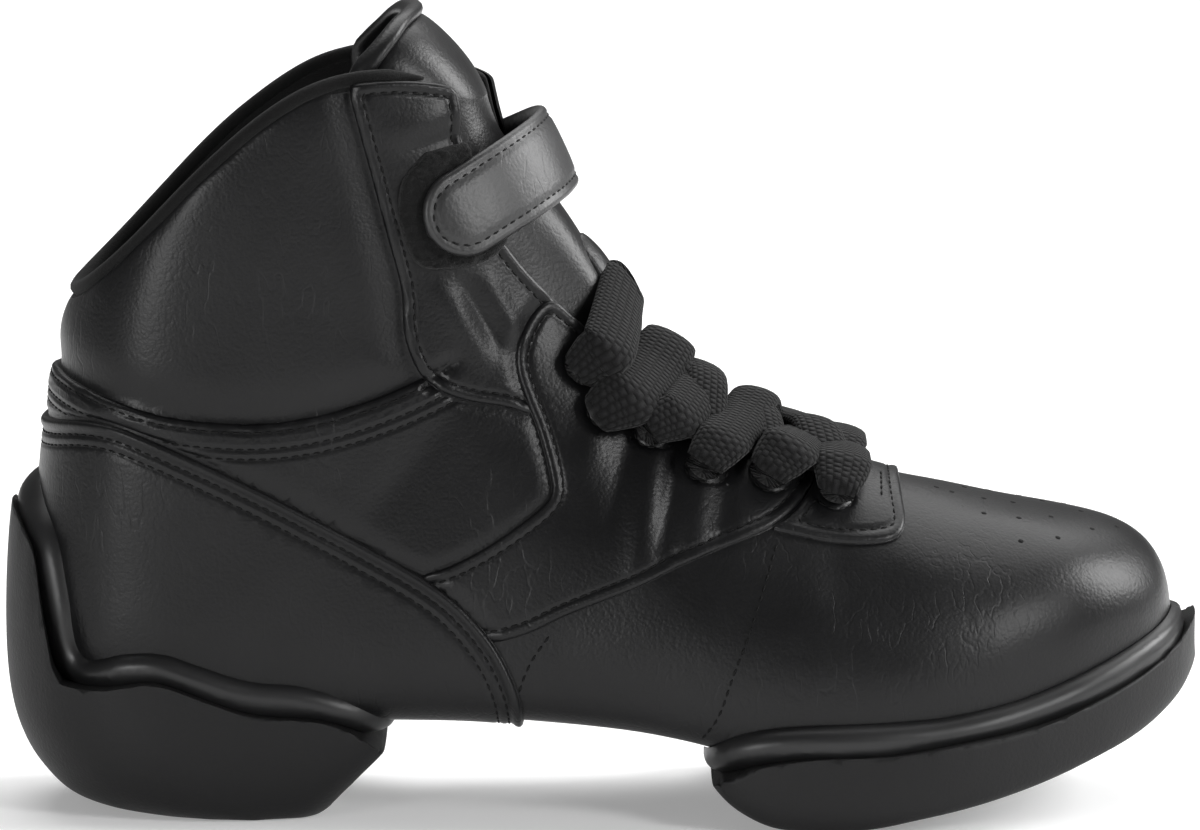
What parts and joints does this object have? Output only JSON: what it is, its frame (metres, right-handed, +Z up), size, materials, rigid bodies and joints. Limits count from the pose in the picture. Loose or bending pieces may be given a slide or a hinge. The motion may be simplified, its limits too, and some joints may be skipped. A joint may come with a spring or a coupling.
{
  "type": "dance sneaker",
  "caption": "High-top split-sole dance sneaker for the right foot, with a padded collar, front lacing and an ankle strap",
  "frame": {"origin": "middle of the flat tread under the heel, on the floor", "axes": "+X to the toe, +Y to the inner side of the foot, +Z up"},
  "size_m": [0.263, 0.1003, 0.1758],
  "materials": {
    "upper": "soft black leather",
    "tongue": "soft black leather over foam",
    "insole": "black textile",
    "sole_rim": "smooth satin black",
    "outsole": "matte black with a fine texture",
    "overlay": "soft black leather",
    "strap": "soft black leather",
    "pile": "black loop pile",
    "keeper": "soft black leather",
    "laces": "black woven cord",
    "eyelets": "black painted rings"
  },
  "bodies": {
    "root": {"upper": "upper", "tongue": "tongue", "insole": "insole", "heel_rim": "sole_rim", "forefoot_rim": "sole_rim", "heel_outsole": "outsole", "forefoot_outsole": "outsole", "heel_counter": "overlay", "eyestay": "overlay", "ankle_panel_lateral": "overlay", "ankle_panel_medial": "overlay", "strap": "strap", "pile_patch": "pile", "lace_keeper": "keeper", "laces": "laces", "eyelet_outer_1": "eyelets", "eyelet_outer_2": "eyelets", "eyelet_outer_3": "eyelets", "eyelet_outer_4": "eyelets", "eyelet_outer_5": "eyelets", "eyelet_outer_6": "eyelets", "eyelet_inner_1": "eyelets", "eyelet_inner_2": "eyelets", "eyelet_inner_3": "eyelets", "eyelet_inner_4": "eyelets", "eyelet_inner_5": "eyelets", "eyelet_inner_6": "eyelets"}
  },
  "joints": []
}
